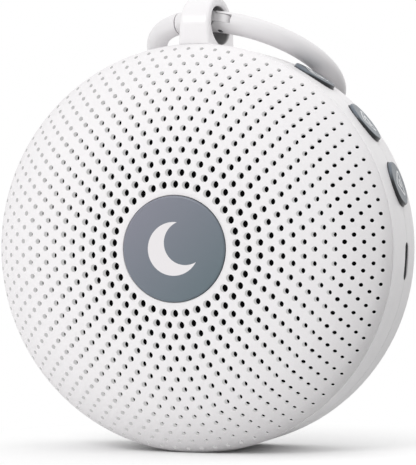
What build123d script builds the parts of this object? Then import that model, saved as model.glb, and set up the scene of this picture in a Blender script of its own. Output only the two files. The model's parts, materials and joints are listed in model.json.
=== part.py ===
"""Portable white noise sound machine: a round, hand-sized speaker with a hook ring.

Millimetres. +X is the user's right, +Y points to the back and +Z is up.
The origin is the middle of the small flat foot that the body stands on.
Depths are Y values, and radii are measured from the body's axis, which runs along Y.
"""
from build123d import *
import math
import os

# ---------------------------------------------------------------- driving sizes
# body shell
body_diameter = 100.0
shell_wall = 2.2
foot_width = 12.0
lip_y = -11.8           # where the grille meets the front housing
groove_width = 0.35
groove_depth = 0.6
front_edge_fillet = 0.35
seam_y = 3.0            # where the front housing meets the rear housing
back_y = 16.5
back_fillet = 5.0
seam_relief = 0.15      # shadow line at the seam
seam_lip_width = 1.0
seam_lip_length = 1.5
seam_lip_gap = 0.1

# domed grille
grille_inset = 0.2
grille_wall = 2.1
crown_radius = 215.0
brow_radius = 64.2
shoulder_radius = 25.0
rim_angle = 86.0
brow_inset = 26.0
shoulder_inset = 12.0
rim_inset = 2.5
skirt_gap = 0.2
skirt_wall = 1.6
skirt_length = 4.0

# perforation: ring n holds first_ring_holes + n * ring_hole_step holes
first_ring_radius = 15.4
ring_pitch = 2.83
ring_pitch_shrink = 0.072
first_ring_holes = 34
ring_hole_step = 4
first_hole_diameter = 1.9
hole_shrink = 0.951
cloth_border = 0.6

# badge
badge_radius = 12.7
badge_thickness = 1.4
badge_proud = 0.5
badge_gap = 0.15
badge_seat_thickness = 1.2
badge_seat_border = 1.0
badge_pegs = 3
peg_start_angle = 60.0
peg_radius = 1.1
peg_circle_radius = 8.0
peg_length = 2.6
emblem_radius = 6.4
emblem_bite_radius = 5.3
emblem_bite_shift = 2.9
emblem_depth = 0.4

# acoustic cloth
cloth_skirt_gap = 6.4      # from the skirt in to the cloth's edge
cloth_thickness = 0.3
cloth_gap = 0.1

# baffle, part of the front housing
baffle_dome_gap = 0.17    # from the dome's inside back to the baffle plate's edge
baffle_thickness = 2.0
neck_gap = 0.8
neck_wall = 1.2
step_gap = 0.4
step_thickness = 1.8

# loudspeaker
flange_land = 4.0       # from the speaker's opening out to the flange's edge
speaker_hole_gap = 0.4
flange_boss_gap = 2.1   # from the flange out to the grille's bosses
flange_thickness = 1.2
gasket_thickness = 0.6
surround_land = 1.7
surround_thickness = 0.4
surround_roll_radius = 2.0
cone_lip = 2.0
cone_thickness = 0.5
cone_depth = 8.2
coil_radius = 10.3
former_wall = 0.3
former_length = 6.8
winding_wall = 0.5
winding_length = 3.0
dust_cap_rise = 2.8
dust_cap_thickness = 0.4
glue_gap = 0.1
spider_thickness = 0.4
spider_wave = 0.6
spider_waves = 3
spider_gap = 0.6        # to the basket's wall
spider_land = 2.0
basket_wall = 1.0
basket_floor_border = 3.0   # outside the magnet
basket_hole_gap = 1.2       # round the winding
basket_floor_depth = 10.6
basket_ledge_height = 1.0
basket_windows = 6
basket_window_phase = 30.0
basket_window_width = 12.0
basket_window_start = 5.4
top_plate_setback = 1.0
top_plate_thickness = 2.5
magnet_gap = 0.4
pole_gap = 0.5
pole_rise = 0.6
magnet_board_gap = 3.6
magnet_bore_gap = 2.2
magnet_thickness = 6.0
yoke_setback = 1.5
yoke_thickness = 3.0

# screws
grille_head_gap = 0.3       # between the grille's screw heads and the neck
grille_boss_radius = 2.3
grille_screws = 4
grille_screw_start = 45.0
speaker_head_border = 0.2   # flange beyond the speaker's screw heads
speaker_screws = 4
small_screw_radius = 1.0
small_head_radius = 1.7
small_head_height = 1.3
small_screw_reach = 2.6     # into the grille or the front housing
board_screw_reach = 4.0
screw_bore_gap = 0.2        # beyond the tip
screw_gap = 0.15
drive_reach = 1.2       # cross recess in a screw's head, in head radii
drive_width = 0.35
speaker_boss_rise = 2.2
housing_screw_angles = (14.5, 125.0, 235.0, 345.5)
housing_screw_radius = 1.25
housing_screw_length = 11.0
housing_head_radius = 2.3
housing_head_height = 1.7
housing_boss_radius = 3.6
housing_head_depth = 5.0    # from the seam back to the screw head's seat
pad_radius = 3.9
pad_recess = 0.8
pad_proud = 0.6
pad_gap = 0.1
pad_border = 0.5            # flat back left outside each pad

# side buttons, angles clockwise from 12 o'clock as the user sees them
button_names = ("upper", "middle", "lower")
button_angles = (32.3, 52.0, 71.7)
button_diameter = 11.2
button_gap = 0.2
button_proud = 0.75
button_travel = 0.4
button_edge_fillet = 0.5
button_flange_width = 1.1
button_flange_thickness = 1.2
button_flange_gap = 0.25
button_stem_radius = 2.0
button_stem_length = 1.3
plunger_radius = 1.6
plunger_length = 1.8
plunger_bore_gap = 0.05
plunger_floor_gap = 0.2
switch_width = 6.0
switch_height = 3.6
switch_depth = 4.0
switch_plunger_exposed = 1.0

# USB-C inlet
usb_angle = 93.6
usb_slot_width = 9.3
usb_slot_height = 3.6
usb_shell_width = 8.94
usb_shell_height = 3.16
usb_shell_wall = 0.3
usb_shell_length = 7.3
usb_tongue_width = 6.7
usb_tongue_thickness = 0.7
usb_tongue_length = 5.2
usb_block_length = 1.6
usb_leg_width = 1.0
usb_leg_setback = 5.1
usb_mouth_gap = 0.1
usb_block_gap = 0.05

# circuit board
board_width = 18.4      # along the radius
board_switch_setback = 0.6  # from the switches' front faces
board_start_angle = 22.0
board_end_angle = 109.0
board_boss_gap = 0.3
board_thickness = 1.2
standoff_setback = 3.0      # board left inside the standoffs
standoff_angles = (30.0, 56.0, 88.0)
standoff_radius = 2.4
controller_size = 7.0
controller_angle = 43.0
controller_setback = 3.1    # from the back faces of the switches
amplifier_size = 5.0
amplifier_angle = 77.0
amplifier_setback = 1.6
chip_height = 1.0
capacitor_radius = 2.5
capacitor_height = 5.4
capacitor_angles = (72.0, 61.5)
capacitor_setbacks = (1.9, 2.1)     # the first from the board's inner edge, the second from the switches
socket_usb_gap = 2.8
socket_length = 3.4
socket_width = 4.0
socket_height = 3.0
speaker_socket_z = -2.4
battery_socket_z = -7.0

# battery
battery_width = 50.0
battery_height = 32.0
battery_thickness = 6.0
battery_corner = 2.0
tape_thickness = 0.4
tape_border = 4.0

# wires inside the body, in pairs
wire_radius = 0.6
wire_spacing = 1.5
wire_bend = 1.6
battery_wire_reach = 3.5    # from the battery's end to the bend of its leads
wire_board_gap = 0.2
terminal_setback = 0.7      # from the basket's edge
terminal_length = 2.0
terminal_width = 4.4
terminal_height = 4.0

# hanging loop on top of the body
loop_front_y = -11.2
loop_rear_y = 10.6
loop_width = 8.2
loop_top_width = 6.9
loop_rise = 12.5
loop_shoulder_rise = 4.4
loop_hole_depth = 15.8
loop_hole_height = 9.2
loop_hole_bottom = 0.6
loop_edge_fillet = 1.0
loop_tab_width = 5.0
loop_tab_gap = 0.1
loop_tabs = ((-4.6, 1.4), (4.6, 9.8))
loop_head_width = 8.0
loop_head_thickness = 1.2
loop_head_gap = 0.1
loop_root_depth = 1.5

# hook ring with a spring gate
ring_radius = 23.7
ring_tube_radius = 2.69
ring_yaw = -19.9
ring_rest_gap = 0.19        # between the resting ring and the body's back edge
ring_hook_x = -3.1
ring_hook_y = 1.0
ring_hook_height = 6.5
gate_pin_angle = 18.5
gate_nose_angle = -12.5
gate_nose_gap = 0.45
gate_pin_radius = 0.8
gate_pin_gap = 0.05
gate_pin_recess = 0.3
gate_slot_width = 2.4
gate_slot_gap = 0.12
gate_knuckle_radius = 2.35
gate_shoulder_gap = 0.3
gate_slot_clearance = 0.25
spring_wire_radius = 0.13
spring_pitch = 0.32
spring_turns = 2

# ---------------------------------------------------------------- derived sizes
body_radius = body_diameter / 2
bore_radius = body_radius - shell_wall
axis_z = math.sqrt(body_radius**2 - (foot_width / 2) ** 2)
housing_front_y = lip_y + groove_width
grille_radius = body_radius - grille_inset
skirt_radius = bore_radius - skirt_gap
skirt_inner_radius = skirt_radius - skirt_wall
cloth_radius = skirt_inner_radius - cloth_skirt_gap
neck_radius = skirt_inner_radius - neck_gap
neck_inner_radius = neck_radius - neck_wall
grille_screw_circle = neck_inner_radius - grille_head_gap - small_head_radius
flange_radius = grille_screw_circle - grille_boss_radius - flange_boss_gap
speaker_hole_radius = flange_radius - flange_land
speaker_screw_circle = flange_radius - speaker_head_border - small_head_radius
housing_screw_circle = body_radius - back_fillet - pad_border - pad_gap - pad_radius
body_axis = Axis((0, 0, axis_z), (0, 1, 0))
LOW = (Align.CENTER, Align.CENTER, Align.MIN)
margin = 1.0            # how far a cutting shape runs past what it cuts, or a joined one into it

nodes = {}


# ---------------------------------------------------------------- small helpers
def on_axis(depth):
    """Plane across the body's axis, its normal towards the back."""
    return Plane(origin=(0, depth, axis_z), x_dir=(1, 0, 0), z_dir=(0, 1, 0))


def on_rim(radius, depth):
    """Plane at 12 o'clock, its normal pointing out of the body."""
    return Plane(origin=(0, depth, axis_z + radius), x_dir=(1, 0, 0), z_dir=(0, 0, 1))


def disc(radius, front, back):
    return on_axis(front) * Cylinder(radius, back - front, align=LOW)


def ring(outer, inner, front, back):
    return disc(outer, front, back) - disc(inner, front - margin, back + margin)


def sag(radius, half_width):
    """How far a circle drops below its tangent at a half width."""
    return radius - math.sqrt(radius**2 - half_width**2)


def around(angle, shape):
    """Turn a shape made at 12 o'clock clockwise about the body's axis."""
    return shape.rotate(body_axis, angle)


def at_polar(angle, radius, depth):
    """Location on the body's cross-section plane, at a clock angle and radius."""
    turn = math.radians(angle)
    return Pos(radius * math.sin(turn), depth, axis_z + radius * math.cos(turn))


def post(angle, circle, radius, front, back):
    """Cylinder along Y at a clock angle."""
    return at_polar(angle, circle, front) * Rot(-90, 0, 0) * Cylinder(radius, back - front, align=LOW)


def turned(edges):
    """Revolve a closed outline given in (radius, depth) about the body's axis."""
    section = make_face(Wire.combine(edges)[0])
    return revolve(Pos(0, 0, axis_z) * section, body_axis)


def turned_polygon(*points):
    return turned(Polyline(*points, close=True).edges())


# ---------------------------------------------------------------- dome profile
def dome_arcs(offset):
    """Tangent arcs of the dome, crown first: centre, radius, start and end angle.

    The end of the last arc reaches the grille's edge at rim_angle, at lip_y.
    """
    breaks = [body_radius - brow_inset, body_radius - shoulder_inset, body_radius - rim_inset]
    radii = [crown_radius, brow_radius, shoulder_radius]
    sine = 0.0
    start = 0.0
    for radius, end in zip(radii, breaks):
        sine += (end - start) / radius
        start = end
    radii.append((grille_radius - start) / (math.sin(math.radians(rim_angle)) - sine))
    breaks.append(grille_radius)
    arcs = []
    point = (0.0, 0.0)
    angle = 0.0
    for radius, end in zip(radii, breaks):
        centre = (point[0] - radius * math.sin(angle), point[1] + radius * math.cos(angle))
        end_angle = math.asin((end - centre[0]) / radius)
        arcs.append((centre, radius, angle, end_angle))
        angle = end_angle
        point = (end, centre[1] - radius * math.cos(angle))
    shift = lip_y - point[1]
    return [((c[0], c[1] + shift), r - offset, a, b) for c, r, a, b in arcs]


def arc_point(arc, angle):
    centre, radius = arc[0], arc[1]
    return (centre[0] + radius * math.sin(angle), centre[1] - radius * math.cos(angle))


def dome_edges(offset, inner, outer):
    """Edges of the dome's profile at an offset, from one radius to another."""
    edges = []
    for arc in dome_arcs(offset):
        centre, radius, start, end = arc
        low = max(start, math.asin(max(-1.0, min(1.0, (inner - centre[0]) / radius))))
        high = min(end, math.asin(max(-1.0, min(1.0, (outer - centre[0]) / radius))))
        if high > low:
            points = [arc_point(arc, a) for a in (low, (low + high) / 2, high)]
            edges.append(ThreePointArc(*points))
    return edges


def dome_depth(offset, radius):
    """Depth of the dome's profile at a radius."""
    for arc in dome_arcs(offset):
        if radius <= arc_point(arc, arc[3])[0] + 1e-6:
            centre, size = arc[0], arc[1]
            return centre[1] - math.sqrt(size**2 - (radius - centre[0]) ** 2)
    return lip_y


def dome_shell(offset_front, offset_back, inner, outer):
    """Shell between two offsets of the dome, from one radius to another."""
    front = dome_edges(offset_front, inner, outer)
    back = dome_edges(offset_back, inner, outer)
    ends = [Line(front[-1] @ 1, back[-1] @ 1), Line(front[0] @ 0, back[0] @ 0)]
    return turned([e for e in front + back + ends if e.length > 0])


def behind_dome(inner, outer):
    """Space from the middle of the dome's wall back to the baffle, between two radii."""
    front = dome_edges(grille_wall / 2, inner, outer)
    start, end = (front[0] @ 0), (front[-1] @ 1)
    sides = Polyline((end.X, end.Y), (end.X, baffle_plate_y), (start.X, baffle_plate_y), (start.X, start.Y))
    return turned(front + list(sides.edges()))


# ---------------------------------------------------------------- grille and badge
badge_front_y = dome_depth(0, badge_radius) - badge_proud
badge_seat_y = badge_front_y + badge_thickness
seat_radius = badge_radius + badge_gap + badge_seat_border


def hole_rings():
    """Radius, hole count, hole diameter and half-pitch offset of each perforation ring."""
    radius, pitch, diameter, count = first_ring_radius, ring_pitch, first_hole_diameter, first_ring_holes
    shift = 0.0
    while radius + diameter / 2 < cloth_radius - cloth_border:
        yield radius, count, diameter, shift
        radius += pitch
        pitch -= ring_pitch_shrink
        diameter *= hole_shrink
        count += ring_hole_step
        shift = 0.5 - shift


def perforation_pins():
    """All the pins that cut the grille's holes, along the mould's opening direction."""
    sketch = Sketch()
    plane = on_axis(dome_depth(0, 0) - margin)
    for radius, count, diameter, shift in hole_rings():
        for i in range(count):
            angle = 2 * math.pi * (i + shift) / count
            sketch += plane * Pos(radius * math.sin(angle), -radius * math.cos(angle)) * Circle(diameter / 2)
    length = dome_depth(grille_wall, cloth_radius) - dome_depth(0, 0) + 2 * margin
    return extrude(sketch, amount=length)


def screw_turns(count, phase):
    return [phase + 360.0 * i / count for i in range(count)]


def make_grille():
    edges = dome_edges(0, 0, grille_radius)
    edge = edges[-1] @ 1
    inside = dome_edges(grille_wall, 0, skirt_inner_radius)
    corner = inside[-1] @ 1
    skirt_y = lip_y + skirt_length
    path = [
        (edge.X, edge.Y), (body_radius - groove_depth, lip_y),
        (body_radius - groove_depth, housing_front_y), (skirt_radius, housing_front_y),
        (skirt_radius, skirt_y), (skirt_inner_radius, skirt_y), (corner.X, corner.Y),
    ]
    closing = Line(inside[0] @ 0, edges[0] @ 0)
    grille = turned(edges + inside + Polyline(*path).edges() + [closing])
    grille -= perforation_pins()
    # seat of the badge: a cup behind the crown
    seat_back = badge_seat_y + badge_seat_thickness
    grille += disc(seat_radius, dome_depth(0, seat_radius) + grille_wall / 2, seat_back)
    grille -= disc(badge_radius + badge_gap, badge_front_y - margin, badge_seat_y)
    for angle in screw_turns(badge_pegs, peg_start_angle):
        grille -= post(angle, peg_circle_radius, peg_radius + badge_gap / 2,
                       badge_seat_y - margin, seat_back + margin)
    # screw bosses under the unperforated shoulder
    for angle in screw_turns(grille_screws, grille_screw_start):
        boss = post(angle, grille_screw_circle, grille_boss_radius, dome_depth(0, 0), baffle_plate_y)
        grille += boss & behind_dome(grille_screw_circle - 2 * grille_boss_radius,
                                     grille_screw_circle + 2 * grille_boss_radius)
        grille -= post(angle, grille_screw_circle, small_screw_radius,
                       baffle_plate_y - small_screw_reach - screw_bore_gap, baffle_plate_y + margin)
    return grille - foot_cut()


def make_badge():
    badge = disc(badge_radius, badge_front_y, badge_seat_y)
    badge = fillet(badge.faces().sort_by(Axis.Y)[0].edges(), badge_proud)
    for angle in screw_turns(badge_pegs, peg_start_angle):
        badge += post(angle, peg_circle_radius, peg_radius, badge_seat_y, badge_seat_y + peg_length)
    return badge - emblem_solid()


def emblem_solid():
    """Plain crescent moon, inlaid flush in the badge."""
    plane = on_axis(badge_front_y)
    bite = Pos(emblem_bite_shift, -emblem_bite_shift / 2) * Circle(emblem_bite_radius)
    return extrude(plane * (Circle(emblem_radius) - bite), amount=emblem_depth)


def make_cloth():
    cloth = dome_shell(grille_wall + cloth_gap, grille_wall + cloth_gap + cloth_thickness,
                       seat_radius + cloth_gap, cloth_radius)
    for angle in screw_turns(grille_screws, grille_screw_start):
        cloth -= post(angle, grille_screw_circle, grille_boss_radius + skirt_gap, dome_depth(0, 0), lip_y)
    return cloth


# ---------------------------------------------------------------- housings
baffle_plate_y = dome_depth(grille_wall, neck_radius) + baffle_dome_gap
baffle_back_y = baffle_plate_y + baffle_thickness
step_y = lip_y + skirt_length + step_gap
step_back_y = step_y + step_thickness
gasket_y = baffle_plate_y - gasket_thickness
flange_y = gasket_y - flange_thickness
board_y = seam_y + switch_height / 2
board_back_y = board_y + board_thickness
back_wall_y = back_y - shell_wall
head_seat_y = seam_y + housing_head_depth

# buttons, switches and inlet stand inwards from the bore; the board and the magnet lie inside them
button_wide_radius = button_diameter / 2 + button_flange_width
button_flange_top = bore_radius - sag(bore_radius, button_wide_radius) - button_flange_gap
button_flange_bottom = button_flange_top - button_flange_thickness
button_stem_bottom = button_flange_bottom - button_stem_length
switch_top = button_stem_bottom - switch_plunger_exposed
switch_bottom = switch_top - switch_depth
usb_mouth = bore_radius - sag(bore_radius, usb_shell_width / 2) - usb_mouth_gap
usb_back = usb_mouth - usb_shell_length
board_outer_radius = switch_top - board_switch_setback
board_inner_radius = board_outer_radius - board_width
standoff_circle = board_inner_radius + standoff_setback + standoff_radius
socket_x = usb_back - socket_usb_gap - socket_length
magnet_radius = board_inner_radius - magnet_board_gap
basket_floor_radius = magnet_radius + basket_floor_border


def foot_cut():
    """Everything below the flat that the body stands on."""
    return Pos(0, 0, -body_radius) * Box(body_diameter, body_diameter, body_diameter)


def loop_slots():
    cuts = []
    for front, back in loop_tabs:
        middle = (front + back) / 2
        depth = back - front + 2 * loop_tab_gap
        cuts.append(on_rim(bore_radius - margin, middle)
                    * Box(loop_tab_width + 2 * loop_tab_gap, depth, shell_wall + 2 * margin, align=LOW))
    return cuts


def button_holes():
    hole_radius = button_diameter / 2 + button_gap
    bottom = bore_radius - sag(bore_radius, hole_radius) - margin
    hole = on_rim(bottom, seam_y) * Cylinder(hole_radius, body_radius + margin - bottom, align=LOW)
    return [around(a, hole) for a in button_angles]


def usb_slot_cut():
    bottom = bore_radius - sag(bore_radius, usb_slot_width / 2) - margin
    slot = on_rim(bottom, seam_y) * SlotOverall(usb_slot_width, usb_slot_height)
    return around(usb_angle, extrude(slot, amount=body_radius + margin - bottom))


def housing_posts(radius, front, back):
    return [post(a, housing_screw_circle, radius, front, back) for a in housing_screw_angles]


def make_front_housing():
    wall = disc(body_radius, housing_front_y, seam_y)
    wall = fillet(wall.faces().sort_by(Axis.Y)[0].edges(), front_edge_fillet)
    wall -= disc(bore_radius, housing_front_y - margin, seam_y + margin)
    wall += ring(bore_radius + seam_lip_width, bore_radius, seam_y - margin, seam_y + seam_lip_length)
    plate = ring(neck_radius, speaker_hole_radius, baffle_plate_y, baffle_back_y)
    neck = ring(neck_radius, neck_inner_radius, baffle_plate_y, step_back_y)
    step = ring(bore_radius + shell_wall / 2, neck_inner_radius, step_y, step_back_y)
    housing = wall + plate + neck + step
    for boss in housing_posts(housing_boss_radius, baffle_back_y - margin, seam_y):
        housing += boss
    for bore in housing_posts(housing_screw_radius, baffle_back_y, seam_y + margin):
        housing -= bore
    for angle in screw_turns(grille_screws, grille_screw_start):
        housing -= post(angle, grille_screw_circle, small_screw_radius + screw_gap,
                        baffle_plate_y - margin, baffle_back_y + margin)
    boss_back_y = baffle_back_y + speaker_boss_rise
    for angle in screw_turns(speaker_screws, 0):
        housing += post(angle, speaker_screw_circle, small_head_radius, baffle_back_y - margin, boss_back_y)
        housing -= post(angle, speaker_screw_circle, small_screw_radius,
                        baffle_plate_y - margin, boss_back_y + margin)
    # the screw bosses must not narrow the speaker's opening
    housing -= disc(speaker_hole_radius, baffle_plate_y, boss_back_y + margin)
    for cut in button_holes() + loop_slots() + [usb_slot_cut(), foot_cut()]:
        housing -= cut
    return housing


def make_rear_housing():
    front = seam_y + seam_relief
    shell = disc(body_radius, front, back_y)
    shell = fillet(shell.faces().sort_by(Axis.Y)[-1].edges(), back_fillet)
    cavity = disc(bore_radius, front - margin, back_wall_y)
    cavity = fillet(cavity.faces().sort_by(Axis.Y)[-1].edges(), back_fillet - shell_wall)
    housing = shell - cavity
    housing -= ring(bore_radius + seam_lip_width + seam_lip_gap, bore_radius - margin,
                    front - margin, seam_y + seam_lip_length + seam_lip_gap)
    for boss in housing_posts(housing_boss_radius, front, back_wall_y + margin):
        housing += boss
    for bore in housing_posts(housing_screw_radius + screw_gap, front - margin, back_y):
        housing -= bore
    for bore in housing_posts(housing_head_radius + screw_gap, head_seat_y, back_y):
        housing -= bore
    for recess in housing_posts(pad_radius + pad_gap, back_y - pad_recess, back_y + margin):
        housing -= recess
    standoff_bore_y = board_back_y + board_screw_reach + screw_bore_gap
    for angle in standoff_angles:
        housing += post(angle, standoff_circle, standoff_radius, board_back_y, back_wall_y + margin)
        housing -= post(angle, standoff_circle, small_screw_radius, board_back_y - margin, standoff_bore_y)
    for cut in button_holes() + loop_slots() + [usb_slot_cut(), foot_cut()]:
        housing -= cut
    return housing


# ---------------------------------------------------------------- screws
def screw(angle, circle, radius, head_radius, head_height, head_y, length, direction):
    """Pan-head screw; direction +1 drives its tip towards the back."""
    if direction > 0:
        head = post(angle, circle, head_radius, head_y - head_height, head_y)
        shank = post(angle, circle, radius, head_y - head_height / 2, head_y + length)
        slot_y = head_y - head_height
    else:
        head = post(angle, circle, head_radius, head_y, head_y + head_height)
        shank = post(angle, circle, radius, head_y - length, head_y + head_height / 2)
        slot_y = head_y + head_height
    drive = Box(drive_reach * head_radius, head_height, drive_width * head_radius)
    drive += Box(drive_width * head_radius, head_height, drive_reach * head_radius)
    return head + shank - at_polar(angle, circle, slot_y) * drive


def make_screws():
    nodes["grille_screws"] = Compound([
        screw(a, grille_screw_circle, small_screw_radius, small_head_radius, small_head_height,
              baffle_back_y, baffle_thickness + small_screw_reach, -1)
        for a in screw_turns(grille_screws, grille_screw_start)])
    nodes["speaker_screws"] = Compound([
        screw(a, speaker_screw_circle, small_screw_radius, small_head_radius, small_head_height,
              flange_y, flange_thickness + gasket_thickness + small_screw_reach, 1)
        for a in screw_turns(speaker_screws, 0)])
    nodes["board_screws"] = Compound([
        screw(a, standoff_circle, small_screw_radius, small_head_radius, small_head_height,
              board_y, board_thickness + board_screw_reach, 1)
        for a in standoff_angles])
    nodes["housing_screws"] = Compound([
        screw(a, housing_screw_circle, housing_screw_radius, housing_head_radius, housing_head_height,
              head_seat_y, housing_screw_length, -1)
        for a in housing_screw_angles])
    pads = housing_posts(pad_radius, back_y - pad_recess, back_y + pad_proud)
    nodes["rear_pads"] = Compound([
        fillet(p.faces().sort_by(Axis.Y)[-1].edges(), pad_proud / 2) for p in pads])


# ---------------------------------------------------------------- loudspeaker
def make_loudspeaker():
    roll_outer = speaker_hole_radius - surround_land
    roll_inner = roll_outer - 2 * surround_roll_radius
    lip_inner = roll_inner - cone_lip
    neck_y = flange_y + cone_depth
    thick_y = cone_thickness / math.cos(math.atan2(cone_depth, lip_inner - coil_radius))

    # basket
    rim_radius = speaker_hole_radius - speaker_hole_gap
    floor_y = flange_y + basket_floor_depth
    winding_radius = coil_radius + winding_wall
    hole_radius = winding_radius + basket_hole_gap
    basket = turned_polygon(
        (roll_outer - surround_thickness, flange_y), (flange_radius, flange_y), (flange_radius, gasket_y),
        (rim_radius, gasket_y), (basket_floor_radius + basket_wall, floor_y + basket_wall),
        (hole_radius, floor_y + basket_wall), (hole_radius, floor_y),
        (basket_floor_radius, floor_y), (rim_radius - basket_wall, gasket_y))
    spider_y = floor_y - basket_ledge_height
    spider_outer_radius = basket_floor_radius - spider_gap
    basket += ring(basket_floor_radius + basket_wall / 2, spider_outer_radius - spider_land,
                   spider_y, floor_y)
    window = Box(basket_window_width, basket_floor_depth - basket_window_start, flange_radius, align=LOW)
    for angle in screw_turns(basket_windows, basket_window_phase):
        basket -= around(angle, on_rim(basket_floor_radius + basket_wall, flange_y + basket_window_start)
                         * window)
    for angle in screw_turns(speaker_screws, 0):
        basket -= post(angle, speaker_screw_circle, small_screw_radius + screw_gap,
                       flange_y - margin, gasket_y + margin)
    nodes["speaker_basket"] = basket

    gasket = ring(flange_radius, speaker_hole_radius, gasket_y, baffle_plate_y)
    for angle in screw_turns(speaker_screws, 0):
        gasket -= post(angle, speaker_screw_circle, small_screw_radius + screw_gap,
                       gasket_y - margin, baffle_plate_y + margin)
    nodes["speaker_gasket"] = gasket

    # surround: inner land, half roll, outer land
    land_y = flange_y - surround_thickness
    land_outer = speaker_screw_circle - small_head_radius - screw_gap
    middle = (roll_outer + roll_inner) / 2
    r_out, r_in = surround_roll_radius, surround_roll_radius - surround_thickness
    outline = [
        Polyline((middle - r_out, land_y), (lip_inner, land_y), (lip_inner, flange_y),
                 (middle - r_in, flange_y), (middle - r_in, land_y)),
        ThreePointArc((middle - r_in, land_y), (middle, land_y - r_in), (middle + r_in, land_y)),
        Polyline((middle + r_in, land_y), (middle + r_in, flange_y), (land_outer, flange_y),
                 (land_outer, land_y), (middle + r_out, land_y)),
        ThreePointArc((middle + r_out, land_y), (middle, land_y - r_out), (middle - r_out, land_y)),
    ]
    nodes["speaker_surround"] = turned([e for piece in outline for e in piece.edges()])

    nodes["speaker_cone"] = turned_polygon(
        (roll_inner, flange_y), (roll_inner, flange_y + cone_thickness),
        (lip_inner, flange_y + cone_thickness), (coil_radius, neck_y + thick_y),
        (coil_radius, neck_y), (lip_inner, flange_y))

    # dust cap: a shallow dome glued over the coil
    cap_radius = coil_radius + former_wall
    cap_y = neck_y - thick_y / 2 - glue_gap
    cap_sphere = (cap_radius**2 + dust_cap_rise**2) / (2 * dust_cap_rise)
    cap_angle = math.asin(cap_radius / cap_sphere)
    cap_centre = (0, cap_y - dust_cap_rise + cap_sphere)
    arcs = []
    for radius in (cap_sphere, cap_sphere - dust_cap_thickness):
        points = [arc_point((cap_centre, radius), cap_angle * part) for part in (0, 0.5, 1)]
        arcs.append(ThreePointArc(*points))
    ends = [Line(arcs[0] @ 0, arcs[1] @ 0), Line(arcs[0] @ 1, arcs[1] @ 1)]
    nodes["speaker_dust_cap"] = turned(arcs + ends)

    # voice coil on its former
    former_y = neck_y + glue_gap
    winding_y = former_y + former_length - winding_length
    coil = ring(coil_radius, coil_radius - former_wall, former_y, former_y + former_length)
    coil += ring(winding_radius, coil_radius - former_wall / 2, winding_y, former_y + former_length)
    nodes["voice_coil"] = coil

    # corrugated spider, on the basket's ledge and round the former
    span = spider_outer_radius - coil_radius
    steps = 2 * spider_waves
    front = [(coil_radius + span * i / steps, spider_y - spider_thickness - (spider_wave if i % 2 else 0))
             for i in range(steps + 1)]
    back = [(r, y + spider_thickness) for r, y in reversed(front)]
    nodes["speaker_spider"] = turned_polygon(*front, *back)

    # motor: top plate, magnet and yoke with its pole
    plate_y = floor_y + basket_wall
    magnet_y = plate_y + top_plate_thickness
    yoke_y = magnet_y + magnet_thickness
    nodes["magnet_top_plate"] = ring(
        magnet_radius - top_plate_setback, winding_radius + magnet_gap, plate_y, magnet_y)
    nodes["speaker_magnet"] = ring(magnet_radius, winding_radius + magnet_bore_gap, magnet_y, yoke_y)
    pole_radius = coil_radius - former_wall - pole_gap
    yoke = disc(magnet_radius - yoke_setback, yoke_y, yoke_y + yoke_thickness)
    yoke += disc(pole_radius, plate_y - pole_rise, yoke_y + margin)
    nodes["speaker_yoke"] = yoke
    return plate_y


# ---------------------------------------------------------------- board, switches, inlet
def make_board():
    board = ring(board_outer_radius, board_inner_radius, board_y, board_back_y)
    middle = (board_start_angle + board_end_angle) / 2
    half = (board_end_angle - board_start_angle) / 2
    across = body_diameter * math.sin(math.radians(half))
    along = body_diameter * math.cos(math.radians(half))
    wedge = Polyline((0, 0), (-across, -along), (across, -along), close=True)
    sector = extrude(on_axis(board_y - margin) * make_face(wedge), amount=board_thickness + 2 * margin)
    board &= around(middle, sector)
    for angle in standoff_angles:
        board -= post(angle, standoff_circle, small_screw_radius + screw_gap,
                      board_y - margin, board_back_y + margin)
    for angle in housing_screw_angles:
        board -= post(angle, housing_screw_circle, housing_boss_radius + board_boss_gap,
                      board_y - margin, board_back_y + margin)
    nodes["main_board"] = board

    def chip(angle, setback, size):
        seat = at_polar(angle, switch_bottom - setback - size / 2, board_y - chip_height / 2)
        return seat * Rot(0, angle, 0) * Box(size, chip_height, size)

    nodes["controller_chip"] = chip(controller_angle, controller_setback, controller_size)
    nodes["amplifier_chip"] = chip(amplifier_angle, amplifier_setback, amplifier_size)
    circles = (board_inner_radius + capacitor_setbacks[0] + capacitor_radius,
               switch_bottom - capacitor_setbacks[1] - capacitor_radius)
    nodes["capacitors"] = Compound([
        post(angle, circle, capacitor_radius, board_y - capacitor_height, board_y)
        for angle, circle in zip(capacitor_angles, circles)])
    for name, z in (("speaker_socket", speaker_socket_z), ("battery_socket", battery_socket_z)):
        nodes[name] = Pos(socket_x, board_y - socket_height / 2, axis_z + z) * Box(
            socket_length, socket_height, socket_width, align=(Align.MIN, Align.CENTER, Align.CENTER))


def make_usb():
    shell = extrude(on_rim(usb_mouth, seam_y) * SlotOverall(usb_shell_width, usb_shell_height),
                    amount=-usb_shell_length)
    hollow = SlotOverall(usb_shell_width - 2 * usb_shell_wall, usb_shell_height - 2 * usb_shell_wall)
    shell -= extrude(on_rim(usb_mouth + margin, seam_y) * hollow, amount=-usb_shell_length - 2 * margin)
    leg_length = board_y - seam_y - usb_shell_height / 2 + usb_shell_wall
    for side in (-1, 1):
        x = side * (usb_shell_width / 2 - usb_shell_height / 2)
        leg = Rot(-90, 0, 0) * Box(usb_leg_width, usb_leg_width, leg_length, align=LOW)
        shell += Pos(x, board_y - leg_length, axis_z + usb_mouth - usb_leg_setback) * leg
    nodes["usb_shell"] = around(usb_angle, shell)
    inset = 2 * (usb_shell_wall + usb_block_gap)
    outline = SlotOverall(usb_shell_width - inset, usb_shell_height - inset)
    block = extrude(on_rim(usb_back, seam_y) * outline, amount=usb_block_length)
    tongue = Box(usb_tongue_width, usb_tongue_thickness, usb_tongue_length, align=LOW)
    tongue = on_rim(usb_back + usb_block_length / 2, seam_y) * tongue
    nodes["usb_tongue"] = around(usb_angle, block + tongue)


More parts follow.
